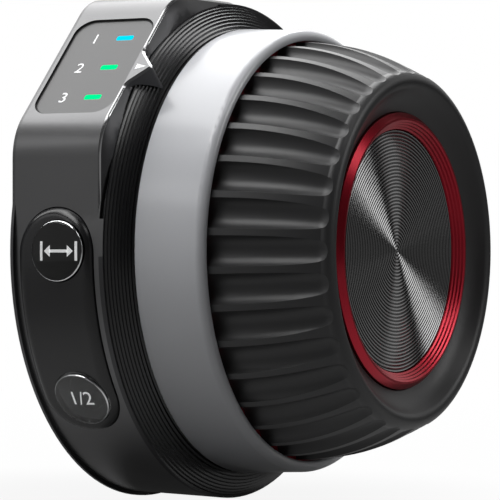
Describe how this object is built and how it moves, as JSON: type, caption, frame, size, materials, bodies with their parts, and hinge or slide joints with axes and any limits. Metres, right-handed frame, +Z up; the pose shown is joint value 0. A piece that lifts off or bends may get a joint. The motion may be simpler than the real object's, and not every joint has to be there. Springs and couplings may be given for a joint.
{
  "type": "wireless handwheel controller",
  "caption": "Wireless handwheel controller: a drum body with a display corner and two domed side buttons, and a fluted rubber wheel with a white marking ring.",
  "frame": {"origin": "on the wheel's axis, in the plane of the rear mounting face, at the mouth of the threaded mounting hole", "axes": "+X runs along the wheel's axis from the rear face to the front of the wheel; -Y is the side with the two domed buttons; +Z is up; the display facet faces -Y and +Z, about 45 degrees up"},
  "size_m": [0.0446, 0.074, 0.0727],
  "materials": {
    "housing_dark": "satin, dark gunmetal",
    "cover_black": "fine matte",
    "bezel_black": "satin, turned grooves",
    "pad_gloss": "polished",
    "window_smoke": "polished, smoked",
    "gasket_black": "matte",
    "light_cyan": "frosted",
    "light_green": "frosted",
    "button_black": "fine matte",
    "lens_clear": "polished",
    "ring_white": "satin gloss",
    "grip_rubber": "matte",
    "hub_red": "anodised",
    "disc_dark": "turned, dark",
    "steel": "machined",
    "screw_black": "black oxide",
    "insert_brass": "machined",
    "magnet_nickel": "nickel plated",
    "washer_white": "smooth",
    "board_green": "solder mask",
    "chip_black": "moulded",
    "shield_tin": "tinned",
    "antenna_white": "ceramic",
    "cell_foil": "foil",
    "foam_grey": "foam",
    "led_white": "moulded"
  },
  "bodies": {
    "housing": {"housing_shell": "housing_dark", "rear_cover": "cover_black", "rear_cover_screws": "screw_black", "mount_insert": "insert_brass", "grooved_bezel": "bezel_black", "button_bezel": "pad_gloss", "display_window": "window_smoke", "window_gasket": "gasket_black", "light_bar_1": "light_cyan", "light_bar_2": "light_green", "light_bar_3": "light_green", "indicator_board": "board_green", "indicator_leds": "led_white", "indicator_board_screws": "steel", "main_board": "board_green", "main_board_screws": "steel", "radio_module": "shield_tin", "antenna": "antenna_white", "charging_port": "shield_tin", "power_switch": "chip_black", "battery_cell": "cell_foil", "battery_pad": "foam_grey", "spindle": "steel", "spindle_screws": "steel", "friction_washer": "washer_white", "retaining_washer": "steel", "retaining_screw": "steel", "sensor_board": "board_green", "position_sensor": "chip_black", "stop_lug": "steel", "stop_lug_screws": "steel", "upper_switch": "chip_black", "upper_switch_board": "board_green", "lower_switch": "chip_black", "lower_switch_board": "board_green"},
    "wheel": {"wheel_hub": "hub_red", "rubber_grip": "grip_rubber", "marking_ring": "ring_white", "front_disc": "disc_dark", "rear_bearing": "steel", "front_bearing": "steel", "encoder_magnet": "magnet_nickel", "stop_pin": "steel"},
    "upper_button": {"upper_button": "button_black", "upper_button_lens": "lens_clear"},
    "lower_button": {"lower_button": "button_black", "lower_button_lens": "lens_clear"},
    "power_button": {"power_button": "button_black"}
  },
  "joints": [
    {"name": "wheel_spin", "type": "hinge", "parent": "housing", "child": "wheel", "pos_m": [0, 0, 0], "axis": [1, 0, 0], "range_deg": [-150, 150]},
    {"name": "upper_button_press", "type": "slide", "parent": "housing", "child": "upper_button", "axis": [0, 1, 0], "range_m": [0, 0.0004], "stiffness_N_per_m": 1500, "springref_m": -0.0006},
    {"name": "lower_button_press", "type": "slide", "parent": "housing", "child": "lower_button", "axis": [0, 0.8339, 0.5519], "range_m": [0, 0.0004], "stiffness_N_per_m": 1500, "springref_m": -0.0006},
    {"name": "power_button_press", "type": "slide", "parent": "housing", "child": "power_button", "axis": [0, -0.5878, -0.809], "range_m": [0, 0.0003], "stiffness_N_per_m": 1500, "springref_m": -0.0006}
  ]
}
